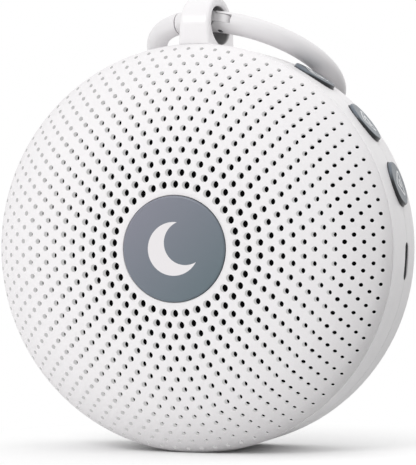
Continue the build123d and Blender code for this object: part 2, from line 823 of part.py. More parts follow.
def make_buttons():
    plunger_bottom = button_stem_bottom - plunger_length
    for name, angle in zip(button_names, button_angles):
        cap = on_rim(button_flange_bottom, seam_y) * Cylinder(
            button_diameter / 2, body_radius + button_proud - button_flange_bottom, align=LOW)
        cap = fillet(cap.faces().sort_by(Axis.Z)[-1].edges(), button_edge_fillet)
        cap += on_rim(button_flange_bottom, seam_y) * Cylinder(
            button_wide_radius, button_flange_thickness, align=LOW)
        cap += on_rim(button_stem_bottom, seam_y) * Cylinder(
            button_stem_radius, button_stem_length + margin, align=LOW)
        nodes[name + "_button"] = around(angle, cap)
        plunger = on_rim(plunger_bottom, seam_y) * Cylinder(plunger_radius, plunger_length, align=LOW)
        nodes[name + "_plunger"] = around(angle, plunger)
        block = on_rim(switch_bottom, seam_y) * Box(
            switch_width, switch_height, switch_depth, align=LOW)
        floor = plunger_bottom - button_travel - plunger_floor_gap
        block -= on_rim(floor, seam_y) * Cylinder(plunger_radius + plunger_bore_gap, switch_depth, align=LOW)
        nodes[name + "_switch"] = around(angle, block)


# ---------------------------------------------------------------- battery and wires
# the battery's leads pass just inside the board
battery_wire_x = math.sqrt((board_inner_radius - wire_board_gap - wire_radius) ** 2
                           - (abs(battery_socket_z) + wire_spacing / 2) ** 2)
battery_end_x = battery_wire_x - battery_wire_reach
battery_middle_x = battery_end_x - battery_width / 2


def make_battery():
    tape_y = back_wall_y - tape_thickness
    centre = on_axis(tape_y - battery_thickness) * Pos(battery_middle_x, 0)
    cell = extrude(centre * RectangleRounded(battery_width, battery_height, battery_corner),
                   amount=battery_thickness)
    nodes["battery"] = cell
    tape = on_axis(tape_y) * Pos(battery_middle_x, 0) * RectangleRounded(
        battery_width - tape_border, battery_height - tape_border, battery_corner)
    nodes["battery_tape"] = extrude(tape, amount=tape_thickness)


def wire_pair(z, *path):
    """Two wires side by side, along a path given in (x, depth)."""
    wires = []
    for side in (-0.5, 0.5):
        points = [(x, y, axis_z + z + side * wire_spacing) for x, y in path]
        line = FilletPolyline(*points, radius=wire_bend)
        start = Plane(origin=line @ 0, z_dir=line % 0)
        wires.append(sweep(start * Circle(wire_radius), path=line))
    return Compound(wires)


def make_wires(terminal_y):
    wire_y = board_y - socket_height / 2
    terminal_x = basket_floor_radius + basket_wall - terminal_setback - terminal_length / 2
    nodes["speaker_terminals"] = Pos(terminal_x, terminal_y, axis_z + speaker_socket_z) * Box(
        terminal_length, terminal_height, terminal_width, align=(Align.CENTER, Align.MIN, Align.CENTER))
    terminal_back = terminal_y + terminal_height
    nodes["speaker_leads"] = wire_pair(
        speaker_socket_z, (terminal_x, terminal_back), (terminal_x, wire_y), (socket_x, wire_y))
    battery_y = back_wall_y - tape_thickness - battery_thickness / 2
    nodes["battery_leads"] = wire_pair(
        battery_socket_z, (battery_end_x, battery_y), (battery_wire_x, battery_y),
        (battery_wire_x, wire_y), (socket_x, wire_y))


# ---------------------------------------------------------------- hanging loop
def make_loop():
    middle = (loop_front_y + loop_rear_y) / 2
    half_depth = (loop_rear_y - loop_front_y) / 2
    base = axis_z + body_radius - loop_root_depth
    shoulder = axis_z + body_radius + loop_shoulder_rise
    top_rise = loop_rise - loop_shoulder_rise
    side = Plane.YZ
    outline = side * Pos(middle, shoulder) * Ellipse(half_depth, top_rise)
    outline += side * Pos(middle, (base + shoulder) / 2) * Rectangle(2 * half_depth, shoulder - base)
    hole_z = axis_z + body_radius + loop_hole_bottom + loop_hole_height / 2
    outline -= side * Pos(middle, hole_z) * Ellipse(loop_hole_depth / 2, loop_hole_height / 2)
    loop = extrude(outline, amount=loop_width / 2, both=True)
    top = axis_z + body_radius + loop_rise
    half, half_top = loop_width / 2, loop_top_width / 2
    taper = Polyline((-half, base), (half, base), (half_top, top), (-half_top, top), close=True)
    loop &= extrude(Plane.XZ * make_face(taper), amount=body_diameter, both=True)
    loop = fillet(loop.edges().filter_by(
        lambda e: (e @ 0.5).Z > base + loop_edge_fillet / 2
        and abs((e @ 0.5).X) > loop_top_width / 4
        and abs((e @ 0).X - (e @ 1).X) < loop_width / 2), loop_edge_fillet)
    loop -= disc(body_radius, loop_front_y - margin, loop_rear_y + margin)
    # two tabs through the rim, each with a wider head inside the housing
    head_bottom = bore_radius - sag(bore_radius, loop_head_width / 2) - loop_head_gap - loop_head_thickness
    tab_height = body_radius + loop_hole_bottom / 2 - head_bottom
    for front, back in loop_tabs:
        place = on_rim(head_bottom, (front + back) / 2)
        loop += place * Box(loop_tab_width, back - front, tab_height, align=LOW)
        loop += place * Box(loop_head_width, back - front, loop_head_thickness, align=LOW)
    return loop


# ---------------------------------------------------------------- hook ring and gate
yaw = math.radians(ring_yaw)
ring_x = Vector(math.cos(yaw), math.sin(yaw), 0)
ring_hook = Vector(ring_hook_x, ring_hook_y, axis_z + body_radius + ring_hook_height)


def down_direction(lean):
    """From the hanging point to the ring's middle, at a lean below the horizontal."""
    turn = math.radians(lean)
    return Vector(-math.sin(yaw) * math.cos(turn), math.cos(yaw) * math.cos(turn), -math.sin(turn))


def gap_to_body(lean):
    """Smallest gap between the ring's tube and the rounded body, at a lean."""
    down = down_direction(lean)
    gaps = []
    for angle in range(360):
        turn = math.radians(angle)
        spot = ring_hook + down * ring_radius * (1 - math.cos(turn)) + ring_x * ring_radius * math.sin(turn)
        outside = math.hypot(spot.X, spot.Z - axis_z) - body_radius + back_fillet
        behind = spot.Y - back_y + back_fillet
        gaps.append(math.hypot(max(outside, 0), max(behind, 0)) - back_fillet - ring_tube_radius)
    return min(gaps)


def resting_lean():
    """Lean at which the ring comes down on the body's back edge."""
    high, low = 0.0, 90.0
    while low - high > 1e-4:
        middle = (high + low) / 2
        if gap_to_body(middle) > ring_rest_gap:
            high = middle
        else:
            low = middle
    return high


ring_lean = resting_lean()
ring_down = down_direction(ring_lean)
ring_normal = ring_x.cross(ring_down)
ring_plane = Plane(origin=ring_hook + ring_down * ring_radius, x_dir=ring_x, z_dir=ring_normal)


def ring_spot(angle):
    """Point of the ring's centre line, its angle counted from the hanging point."""
    turn = math.radians(angle)
    return (ring_radius * math.sin(turn), -ring_radius * math.cos(turn))


def make_ring():
    tube = Torus(ring_radius, ring_tube_radius)
    pin_x, pin_y = ring_spot(gate_pin_angle)
    nose_x = ring_spot(gate_nose_angle)[0]
    tall = 4 * ring_tube_radius
    turn = math.radians(gate_pin_angle)
    # at the pin, x along the tube towards the gate
    hinge = Plane(origin=(pin_x, pin_y, 0), x_dir=(-math.cos(turn), -math.sin(turn), 0), z_dir=(0, 0, 1))
    from_left = (Align.MIN, Align.CENTER, Align.CENTER)
    before_pin = hinge * Box(2 * ring_radius, ring_radius, tall, align=from_left)
    past_nose = Pos(nose_x, -ring_radius, 0) * Box(2 * ring_radius, ring_radius, tall, align=from_left)
    past_gap = Pos(-gate_nose_gap, 0, 0) * past_nose

    # fixed part: a fork round the pin, and a flat end face at the nose
    slot_low = -gate_slot_width / 2
    slot_reach = gate_knuckle_radius + gate_slot_clearance
    opening = (before_pin & past_gap) - hinge * Cylinder(ring_tube_radius, tall + margin)
    fixed = tube - opening
    fixed -= hinge * Pos(-slot_reach, 0, slot_low) * Box(
        4 * slot_reach, 4 * slot_reach, gate_slot_width, align=(Align.MIN, Align.CENTER, Align.MIN))
    fixed -= hinge * Cylinder(gate_pin_radius, tall)
    nodes["hook_ring"] = ring_plane * fixed

    # gate: the tube up to its shoulder, then a tongue with a knuckle on the pin
    shoulder_reach = ring_tube_radius + gate_shoulder_gap
    tongue_thickness = gate_slot_width - 2 * gate_slot_gap
    gate = tube & before_pin & past_nose
    gate -= hinge * Cylinder(shoulder_reach, tall)
    tongue = hinge * Box(shoulder_reach + margin, 2 * gate_knuckle_radius, tongue_thickness, align=from_left)
    tongue += hinge * Cylinder(gate_knuckle_radius, tongue_thickness)
    gate += tongue & tube
    gate -= hinge * Cylinder(gate_pin_radius + gate_pin_gap, tall)

    # torsion spring round the pin, in a pocket of the knuckle
    winding_radius = gate_pin_radius + gate_slot_gap + spring_wire_radius
    spring_length = spring_pitch * spring_turns + 2 * spring_wire_radius
    spring_low = tongue_thickness / 2 - spring_length
    pocket_radius = winding_radius + spring_wire_radius + gate_slot_gap
    gate -= hinge * Pos(0, 0, spring_low - gate_slot_gap) * Cylinder(pocket_radius, tall, align=LOW)
    coil = Helix(spring_pitch, spring_pitch * spring_turns, winding_radius)
    wire = Plane(origin=coil @ 0, z_dir=coil % 0) * Circle(spring_wire_radius)
    spring = Pos(0, 0, spring_low + spring_wire_radius) * sweep(wire, path=coil, is_frenet=True)
    nodes["ring_gate"] = ring_plane * gate
    nodes["gate_pin"] = ring_plane * hinge * Cylinder(gate_pin_radius, 2 * ring_tube_radius - gate_pin_recess)
    nodes["gate_spring"] = ring_plane * hinge * spring


# ---------------------------------------------------------------- build
def build():
    nodes["grille"] = make_grille()
    nodes["badge"] = make_badge()
    nodes["badge_emblem"] = emblem_solid()
    nodes["grille_cloth"] = make_cloth()
    nodes["front_housing"] = make_front_housing()
    nodes["rear_housing"] = make_rear_housing()
    make_screws()
    terminal_y = make_loudspeaker()
    make_board()
    make_usb()
    make_buttons()
    make_battery()
    make_wires(terminal_y)
    nodes["hanging_loop"] = make_loop()
    make_ring()
    os.makedirs("parts", exist_ok=True)
    for name, shape in nodes.items():
        export_step(shape, f"parts/{name}.step")


build()
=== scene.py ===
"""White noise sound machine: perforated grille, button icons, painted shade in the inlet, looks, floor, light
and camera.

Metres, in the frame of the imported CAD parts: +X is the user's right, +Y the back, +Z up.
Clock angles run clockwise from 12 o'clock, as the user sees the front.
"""
import json
import math
from collections import namedtuple

import bpy
from mathutils import Matrix, Vector


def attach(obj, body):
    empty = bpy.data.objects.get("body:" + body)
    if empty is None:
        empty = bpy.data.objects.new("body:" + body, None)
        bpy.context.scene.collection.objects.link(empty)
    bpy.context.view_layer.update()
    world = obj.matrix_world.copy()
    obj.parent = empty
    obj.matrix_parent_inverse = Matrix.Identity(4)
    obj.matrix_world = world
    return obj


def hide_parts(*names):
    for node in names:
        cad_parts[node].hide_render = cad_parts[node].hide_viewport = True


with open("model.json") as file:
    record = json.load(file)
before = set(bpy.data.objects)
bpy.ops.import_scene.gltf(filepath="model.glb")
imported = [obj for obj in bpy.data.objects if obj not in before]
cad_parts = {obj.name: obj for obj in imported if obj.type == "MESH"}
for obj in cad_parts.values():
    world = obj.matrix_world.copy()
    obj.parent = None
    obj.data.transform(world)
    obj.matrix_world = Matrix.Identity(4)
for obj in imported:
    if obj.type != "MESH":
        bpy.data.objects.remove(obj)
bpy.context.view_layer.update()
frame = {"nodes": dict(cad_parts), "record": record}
MM = 0.001
NEARLY = 1e-9                   # slack where two worked-out values should be equal

# ---------------------------------------------------------------- sizes that follow the CAD source
BODY_RADIUS = 50.0 * MM
FOOT_HALF_WIDTH = 6.0 * MM      # of the flat that the body stands on
AXIS_Z = math.sqrt(BODY_RADIUS**2 - FOOT_HALF_WIDTH**2)
LIP_Y = -11.8 * MM              # where the grille meets the front housing
SEAM_Y = 3.0 * MM               # where the two housings meet
GRILLE_RADIUS = 49.8 * MM
GRILLE_WALL = 2.1 * MM
DOME_ARCS = ((215.0 * MM, 24.0 * MM), (64.2 * MM, 38.0 * MM), (25.0 * MM, 47.5 * MM))   # arc radius, its end
RIM_ANGLE = math.radians(86.0)
GROOVE_DEPTH = 0.35 * MM        # shallower than the moulded part's, its corners rounded
GROOVE_WIDTH = 0.35 * MM
EDGE_ROUND = 0.3 * MM
EDGE_INSET = 0.02 * MM          # keeps the rounded edge inside the moulded part's
EDGE_STEPS = 5
SKIRT_RADIUS = 47.6 * MM
SKIRT_WALL = 1.6 * MM
SKIRT_LENGTH = 4.0 * MM
DOME_BACK_STEPS = 8             # circles of the plain dome back between the skirt and the holes
SEAT_RADIUS = 12.85 * MM        # recess that the badge lies in
SEAT_BORDER = 1.0 * MM
SEAT_FLOOR = 1.2 * MM
BADGE_RADIUS = 12.7 * MM
BADGE_SUNK = 0.9 * MM           # from the dome at the badge's edge back to the recess floor

HOLE_RINGS = 15
THROUGH_RINGS = 10              # the rest are blind
FIRST_RING_RADIUS = 15.4 * MM
RING_PITCH = 2.83 * MM
RING_PITCH_SHRINK = 0.072 * MM
FIRST_RING_HOLES = 34
RING_HOLE_STEP = 4
FIRST_HOLE_RADIUS = 0.95 * MM
HOLE_SHRINK = 0.951
BLIND_DEPTH = 1.6 * MM
BLIND_LEAN = math.radians(13.0)
HOLE_EDGE = 0.06 * MM           # rounding of each hole's edge
HOLE_COLLAR = 1.9 * HOLE_EDGE   # reach of the flat collar round the rounding
SEAT_BEVEL = 0.3 * HOLE_EDGE    # middle of the recess edge's rounding
FINE_RINGS = 5                  # these have more points round each hole
FINE_SIDE, COARSE_SIDE = 6, 5   # points on each of a cell's four sides
FIRST_CORNER = math.radians(-135.0)
SLIDE_STEPS = 4                 # rounds that bring a leaning hole's point onto the dome

LOOP_HOLE_MIDDLE = (0.0, -0.3 * MM, AXIS_Z + 55.2 * MM)
LOOP_HOLE_DEPTH = 15.8 * MM
LOOP_HOLE_HEIGHT = 9.2 * MM

BUTTONS = (("upper", 32.3), ("middle", 52.0), ("lower", 71.7))   # name, clock angle
BUTTON_TOP = BODY_RADIUS + 0.75 * MM
ICON_LINE = 0.5 * MM
ICON_THICKNESS = 0.03 * MM
ICON_SUNK = ICON_THICKNESS / 4
ICON_TRIANGLES = {              # size and depth on the button of each icon's nested triangles
    "upper": ((7.4 * MM, 0.2 * MM), (4.4 * MM, 0.4 * MM)),
    "middle": ((7.0 * MM, 0.2 * MM), (3.4 * MM, 0.4 * MM)),
    "lower": ((7.0 * MM, 0.2 * MM), (2.2 * MM, 0.3 * MM)),
}
TRIANGLE_FRONT, TRIANGLE_BACK, TRIANGLE_HALF = 0.45, 0.28, 0.52   # shares of its size
TRIANGLE_ROUND = 0.1
CORNER_STEPS = 6

USB_ANGLE = 93.6
# A dark sleeve in the USB-C slot, as painted shade:
INLET_SHADE_LENGTH = 9.26 * MM
INLET_SHADE_WIDTH = 3.56 * MM
INLET_SHADE_WALL = 0.08 * MM
INLET_SHADE_BACK = 47.6 * MM
INLET_SHADE_FRONT = 49.7 * MM
INLET_SHADE_END_POINTS = 10

# ---------------------------------------------------------------- camera, set by the horizon and the rim
CAMERA_PLACE = Vector((0.1735, -0.5696, 0.0549))
CAMERA_TURN = math.radians(16.92)
CAMERA_DIP = 0.0024             # how far its line of sight falls in each metre
CAMERA_LENS = 185.4
CAMERA_SENSOR = 36.0
CAMERA_CLIP = 0.01

# ---------------------------------------------------------------- looks
WHITE = (0.802, 0.786, 0.796)
RING_WHITE = (0.772, 0.758, 0.768)
EMBLEM_WHITE = (0.735, 0.712, 0.725)
PRINT_WHITE = (0.78, 0.79, 0.8)
SLATE = (0.135, 0.158, 0.185)
BADGE_SLATE = (0.159, 0.177, 0.213)
BADGE_PAINTED_SHADE = (0.62, 0.76, 0.74)      # painted shade: shares of its colour at the lower right
BADGE_PAINTED_SHEEN = (1.16, 1.08, 1.1)      # painted sheen: shares of its colour at the upper left
# reach of the badge's painted sheen and shade, each way from its middle
BADGE_SHEEN_REACH = 1.3 * BADGE_RADIUS
# The holes' walls: a dark colour under a painted glow, which stands in for the light on them
WALL_TINT = (0.12, 0.12, 0.12)
WALL_PAINTED_GLOW_TINT = (1.0, 1.0, 0.995)
WALL_PAINTED_GLOW = 0.47
# Painted shade on the buttons' walls, darkest low down where they face down and to the front:
BUTTON_PAINTED_SHADE = 0.08                     # painted shade: share of its colour where a button's wall is darkest
BUTTON_SHADE_FROM = (0.48, -0.6, -0.64)     # and the way that the wall faces there
BUTTON_SHADE_START, BUTTON_SHADE_END = 0.2, 0.6     # cosines to that direction
BUTTON_SHADE_LOW, BUTTON_SHADE_HIGH = BODY_RADIUS - 0.1 * MM, BODY_RADIUS + 0.45 * MM
LOOP_PAINTED_SHADE = 0.2                        # painted shade: share of the loop's colour inside its hole
LOOP_SHADE_START, LOOP_SHADE_END = 1.02, 1.06   # shares of the hole's half width
NOISE_LOW, NOISE_HIGH = 0.3, 0.7        # most of a noise texture's values lie between these
FINE_DETAIL = 2.0                       # of the noise that makes a grain
FINE_ROUGHNESS = 0.6
MOTTLE_SCALE = 60.0                     # waves per metre
GLOSS_SCALE = 400.0
GLOSS_SPREAD = 0.05
SPECKLE_WAVES = 1.6                     # for each pit of a spark-eroded surface
SPECKLE_LOW, SPECKLE_HIGH = 0.35, 0.65
SPECKLE_DEPTH = 0.8                     # share of the pits' depth
TRACK_SCALE = 260.0
TRACK_START, TRACK_END = 0.03, 0.09     # distances from a track's middle, in cells
WAVE_LENGTH = math.pi / 10              # of Blender's wave texture at scale 1
MIX_COLOURS, MIX_RESULT = (6, 7), 2     # sockets of a Mix node that mixes colours
CREASE = math.radians(40.0)
CAD_CREASE = math.radians(30.0)

# ---------------------------------------------------------------- floor and light
FLOOR_REACH = 3.0
FLOOR_NEAR, FLOOR_FAR = 0.02, 0.085
FLOOR_SHIFT = (-12.0 * MM, 0.0, 0.0)    # the shadow reaches further to the right
FLOOR_WHITE = (0.93, 0.93, 0.93)
FLOOR_DULL = (0.1, 0.1, 0.1)            # what the object sees of it behind and to the right
DULL_FROM = (0.72, 0.69, 0.0)           # the way in which it goes dull
DULL_START, DULL_END = -0.03, 0.07
SOFT_FROM = Vector((-0.45, -0.85, 0.15))
SOFT_LEVEL = 0.92                       # at its strongest; it fades to nothing on the far side
SIDE_FROM = Vector((0.52, 0.4, 0.75))
SIDE_LEVEL, SIDE_POWER = 2.0, 4.0       # a higher power makes a narrower lobe
KEY_PLACE = Vector((-0.24, -1.09, 0.85))
KEY_SIZE = 0.5
KEY_POWER = 5.0


# ---------------------------------------------------------------- dome profile
def dome_arcs(offset):
    """Tangent arcs of the dome, crown first: centre (radius, depth), arc radius, start and end angle."""
    sine, start, arcs = 0.0, 0.0, []
    for radius, end in DOME_ARCS:
        sine += (end - start) / radius
        start = end
    last = (GRILLE_RADIUS - start) / (math.sin(RIM_ANGLE) - sine)
    r, y, angle = 0.0, 0.0, 0.0
    for radius, end in (*DOME_ARCS, (last, GRILLE_RADIUS)):
        centre = (r - radius * math.sin(angle), y + radius * math.cos(angle))
        end_angle = math.asin((end - centre[0]) / radius)
        arcs.append([centre, radius, angle, end_angle])
        r, y, angle = end, centre[1] - radius * math.cos(end_angle), end_angle
    shift = LIP_Y - y
    return [((c[0], c[1] + shift), size - offset, a, b) for c, size, a, b in arcs]


FRONT_ARCS = dome_arcs(0.0)
BACK_ARCS = dome_arcs(GRILLE_WALL)


def dome_angle(arcs, radius):
    """Tilt of the dome's surface where its profile has this radius."""
    for centre, size, start, end in arcs:
        if radius <= centre[0] + size * math.sin(end) + NEARLY:
            return math.asin(max(-1.0, min(1.0, (radius - centre[0]) / size)))
    return arcs[-1][3]


def dome_depth(arcs, radius):
    """Y of the dome's surface where its profile has this radius."""
    angle = dome_angle(arcs, radius)
    for centre, size, start, end in arcs:
        if angle <= end + NEARLY:
            return centre[1] - size * math.cos(angle)
    return LIP_Y


def polar(radius, turn, depth):
    """A point round the body's axis, but never below the flat foot."""
    return (radius * math.sin(turn), depth, max(0.0, AXIS_Z + radius * math.cos(turn)))


# ---------------------------------------------------------------- mesh helpers
class Shell:
    """Vertices and faces of a mesh under construction."""

    def __init__(self):
        self.points = []
        self.faces = []
        self.slots = []

    def point(self, place):
        self.points.append(place)
        return len(self.points) - 1

    def face(self, *corners, slot=0):
        self.faces.append(corners)
        self.slots.append(slot)

    def circle(self, radius, depth, count, shift=0.0):
        """A ring of points; shift is in steps."""
        return [self.point(polar(radius, 2 * math.pi * (i + shift) / count, depth)) for i in range(count)]

    def band(self, a, b, slot=0):
        """Quads between two closed loops of the same count."""
        n = len(a)
        for i in range(n):
            j = (i + 1) % n
            self.face(a[i], a[j], b[j], b[i], slot=slot)

    def tube(self, loops):
        """Bands from each loop to the next, and from the last back to the first."""
        for k, loop in enumerate(loops):
            self.band(loop, loops[(k + 1) % len(loops)])

    def stitch(self, a, b, turn_a, turn_b):
        """Triangles between two closed loops of different counts; turns give each loop's angles."""
        n, m = len(a), len(b)
        i = j = 0
        while i < n or j < m:
            next_a = turn_a(i + 1) if i < n else math.inf
            next_b = turn_b(j + 1) if j < m else math.inf
            if next_a <= next_b:
                self.face(a[i % n], a[(i + 1) % n], b[j % m])
                i += 1
            else:
                self.face(a[i % n], b[(j + 1) % m], b[j % m])
                j += 1

    def build(self, name):
        """The finished object, smooth but for its creases."""
        mesh = bpy.data.meshes.new(name)
        mesh.from_pydata(self.points, [], self.faces)
        mesh.polygons.foreach_set("material_index", self.slots)
        mesh.polygons.foreach_set("use_smooth", [True] * len(self.faces))
        mesh.update()
        mesh.validate()
        mesh.set_sharp_from_angle(angle=CREASE)
        piece = bpy.data.objects.new(name, mesh)
        bpy.context.scene.collection.objects.link(piece)
        return piece


# ---------------------------------------------------------------- perforated grille
# A ring of square cells with a hole in each: inner and outer are the cells' radii, shift is in pitches,
# and side is the number of points on each side of a cell.
Ring = namedtuple("Ring", "index radius inner outer count hole shift side")
BLIND_FLOOR_SLOT, WALL_SLOT = 1, 2    # materials of the blind holes' black floors and of all holes' walls


def hole_rings():
    """Every ring of holes, from the badge outwards; each is turned by half a pitch against the one before."""
    radius, pitch, hole = FIRST_RING_RADIUS, RING_PITCH, FIRST_HOLE_RADIUS
    count, shift = FIRST_RING_HOLES, 0.0
    inner = radius - pitch / 2
    for index in range(HOLE_RINGS):
        outer = radius + pitch / 2
        side = FINE_SIDE if index < FINE_RINGS else COARSE_SIDE
        yield Ring(index, radius, inner, outer, count, hole, shift, side)
        radius += pitch
        pitch -= RING_PITCH_SHRINK
        inner = outer
        hole *= HOLE_SHRINK
        count += RING_HOLE_STEP
        shift = 0.5 - shift


def cell_loops(shell, arcs, ring):
    """The closed outline of every cell of a ring, and the ring's inner and outer circles."""
    side = ring.side
    total = ring.count * side
    start = (ring.shift - 0.5) * side
    low = shell.circle(ring.inner, dome_depth(arcs, ring.inner), total, start)
    high = shell.circle(ring.outer, dome_depth(arcs, ring.outer), total, start)
    spokes = []
    for cell in range(ring.count):
        turn = 2 * math.pi * (cell + ring.shift - 0.5) / ring.count
        spoke = [low[cell * side]]
        for j in range(1, side):
            r = ring.inner + (ring.outer - ring.inner) * j / side
            spoke.append(shell.point(polar(r, turn, dome_depth(arcs, r))))
        spoke.append(high[cell * side])
        spokes.append(spoke)
    loops = []
    for cell in range(ring.count):
        after = spokes[(cell + 1) % ring.count]
        bottom = [low[(cell * side + i) % total] for i in range(side)]
        top = [high[((cell + 1) * side - i) % total] for i in range(side)]
        loops.append(bottom + after[:side] + top + spokes[cell][:0:-1])
    return loops, low, high


def hole_loop(shell, arcs, ring, cell, size, sink, lean):
    """Points round a hole, from the cell's inner corner; its axis leans outwards, and sink goes along it."""
    turn = 2 * math.pi * (cell + ring.shift) / ring.count
    start = dome_depth(arcs, ring.radius)
    slope = math.tan(dome_angle(arcs, ring.radius))
    approach = math.cos(lean) + slope * math.sin(lean)
    loop = []
    for i in range(4 * ring.side):
        a = FIRST_CORNER + 2 * math.pi * i / (4 * ring.side)
        across, outward = size * math.cos(a), size * math.sin(a)
        r0, y0 = ring.radius + outward * math.cos(lean), start + outward * math.sin(lean)
        slide = 0.0
        for _ in range(SLIDE_STEPS):
            r, y = r0 - slide * math.sin(lean), y0 + slide * math.cos(lean)
            slide += (dome_depth(arcs, math.hypot(r, across)) - y) / approach
        slide += sink
        r, y = r0 - slide * math.sin(lean), y0 + slide * math.cos(lean)
        loop.append(shell.point(polar(r, turn + across / ring.radius, y)))
    return loop


def perforate(shell, ring):
    """One ring of cells, each with its hole: its inner and outer circles on the front and on the back."""
    blind = ring.index >= THROUGH_RINGS
    lean = BLIND_LEAN if blind else 0.0
    loops, low, high = cell_loops(shell, FRONT_ARCS, ring)
    back_loops, back_low, back_high = (None, None, None) if blind else cell_loops(shell, BACK_ARCS, ring)
    quarter = [math.radians(angle) for angle in (0.0, 30.0, 60.0, 90.0)]
    rounding = [(HOLE_EDGE * (1 - math.sin(a)), HOLE_EDGE * (1 - math.cos(a))) for a in quarter]
    for cell in range(ring.count):
        previous = loops[cell]
        for widen, sink in [(HOLE_COLLAR, 0.0)] + rounding:
            current = hole_loop(shell, FRONT_ARCS, ring, cell, ring.hole + widen, sink, lean)
            shell.band(previous, current)
            previous = current
        if blind:
            floor = hole_loop(shell, FRONT_ARCS, ring, cell, ring.hole, BLIND_DEPTH, lean)
            shell.band(previous, floor, slot=WALL_SLOT)
            shell.face(*floor, slot=BLIND_FLOOR_SLOT)
        else:
            back = hole_loop(shell, BACK_ARCS, ring, cell, ring.hole, 0.0, lean)
            shell.band(previous, back, slot=WALL_SLOT)
            shell.band(back, back_loops[cell])
    return low, high, back_low, back_high


def turns_of(ring):
    """A function that gives the angle of each point on the ring's circles."""
    total = ring.count * ring.side
    return lambda i: 2 * math.pi * (i + (ring.shift - 0.5) * ring.side) / total


def stitch_rings(shell, ring_a, loop_a, ring_b, loop_b, flip=False):
    """Join the outer circle of one ring to the inner circle of the next; flip is for the back."""
    turn_a, turn_b = turns_of(ring_a), turns_of(ring_b)
    begin = 0
    while turn_b(begin) < turn_a(0) - NEARLY:
        begin += 1
    rolled = [loop_b[(begin + i) % len(loop_b)] for i in range(len(loop_b))]
    before = len(shell.faces)
    shell.stitch(loop_a, rolled, turn_a, lambda i: turn_b(i + begin))
    if flip:
        for k in range(before, len(shell.faces)):
            shell.faces[k] = tuple(reversed(shell.faces[k]))


def lathe(shell, loop, ring, profile):
    """Sweep further circles from a loop along a profile of (radius, depth); the last one is returned."""
    for r, y in profile:
        following = shell.circle(r, y, len(loop), (ring.shift - 0.5) * ring.side)
        shell.band(loop, following)
        loop = following
    return loop


def edge_profile(start, finish):
    """Points along the dome's outermost arc between two radii, the first left out."""
    centre, size = FRONT_ARCS[-1][:2]
    angle_a, angle_b = dome_angle(FRONT_ARCS, start), dome_angle(FRONT_ARCS, finish)
    points = []
    for i in range(1, EDGE_STEPS + 1):
        angle = angle_a + (angle_b - angle_a) * i / EDGE_STEPS
        points.append((centre[0] + size * math.sin(angle), centre[1] - size * math.cos(angle)))
    return points


def make_badge_seat(shell, ring, front, back):
    """The recess that the badge lies in, from the first ring's inner circles on the front and the back."""
    seat_y = dome_depth(FRONT_ARCS, BADGE_RADIUS) + BADGE_SUNK
    lip = SEAT_RADIUS + HOLE_EDGE
    lip_y = dome_depth(FRONT_ARCS, lip)
    recess = lathe(shell, front, ring, [
        (lip, lip_y),
        (SEAT_RADIUS + SEAT_BEVEL, lip_y + SEAT_BEVEL),
        (SEAT_RADIUS, lip_y + HOLE_EDGE),
        (SEAT_RADIUS, seat_y),
    ])
    shell.face(*recess)
    border = SEAT_RADIUS + SEAT_BORDER
    seat_back = lathe(shell, back, ring, [
        (border, dome_depth(BACK_ARCS, border)),
        (border, seat_y + SEAT_FLOOR),
    ])
    shell.face(*seat_back)


def make_rim(shell, ring, front, holes_end):
    """The dome's edge, its step down into the groove, the skirt in the housing, and the plain dome back."""
    inner = SKIRT_RADIUS - SKIRT_WALL
    edge = GRILLE_RADIUS - EDGE_INSET
    half_groove = GROOVE_WIDTH / 2
    valley = BODY_RADIUS - GROOVE_DEPTH - half_groove
    rounding = [(edge - EDGE_ROUND * (1 - math.cos(a)), LIP_Y - EDGE_ROUND * (1 - math.sin(a)))
                for a in (math.pi / 6, math.pi / 3, math.pi / 2)]
    dip = [(valley + half_groove * (1 - math.sin(a)), LIP_Y + half_groove * (1 - math.cos(a)))
           for a in (math.pi / 4, math.pi / 2)]
    rim = lathe(shell, front, ring, edge_profile(ring.outer, edge) + rounding + dip + [
        (valley, LIP_Y + GROOVE_WIDTH),
        (SKIRT_RADIUS, LIP_Y + GROOVE_WIDTH),
        (SKIRT_RADIUS, LIP_Y + SKIRT_LENGTH),
        (inner, LIP_Y + SKIRT_LENGTH),
        (inner, dome_depth(BACK_ARCS, inner)),
    ])
    radii = [inner + (holes_end - inner) * i / DOME_BACK_STEPS for i in range(1, DOME_BACK_STEPS)]
    return lathe(shell, rim, ring, [(r, dome_depth(BACK_ARCS, r)) for r in radii])


def make_grille():
    """The dome with all its holes, in place of the moulded grille, which has no blind ones."""
    shell = Shell()
    rings = list(hole_rings())
    made = [perforate(shell, ring) for ring in rings]
    for k in range(len(rings) - 1):
        stitch_rings(shell, rings[k], made[k][1], rings[k + 1], made[k + 1][0])
        if rings[k + 1].index < THROUGH_RINGS:
            stitch_rings(shell, rings[k], made[k][3], rings[k + 1], made[k + 1][2], flip=True)
    make_badge_seat(shell, rings[0], made[0][0], made[0][2])
    through = rings[THROUGH_RINGS - 1]
    rim = make_rim(shell, rings[-1], made[-1][1], through.outer)
    stitch_rings(shell, through, made[through.index][3], rings[-1], rim, flip=True)
    return shell.build("perforated_grille")


# ---------------------------------------------------------------- button icons and inlet
def rim_place(angle, radius):
    """Matrix at a clock angle on the rim: x is along the rim, y to the back, z outward."""
    turn = math.radians(angle)
    along = Vector((math.cos(turn), 0, -math.sin(turn)))
    outward = Vector((math.sin(turn), 0, math.cos(turn)))
    axes = Matrix((along, Vector((0, 1, 0)), outward)).transposed().to_4x4()
    axes.translation = Vector((0, SEAM_Y, AXIS_Z)) + outward * radius
    return axes


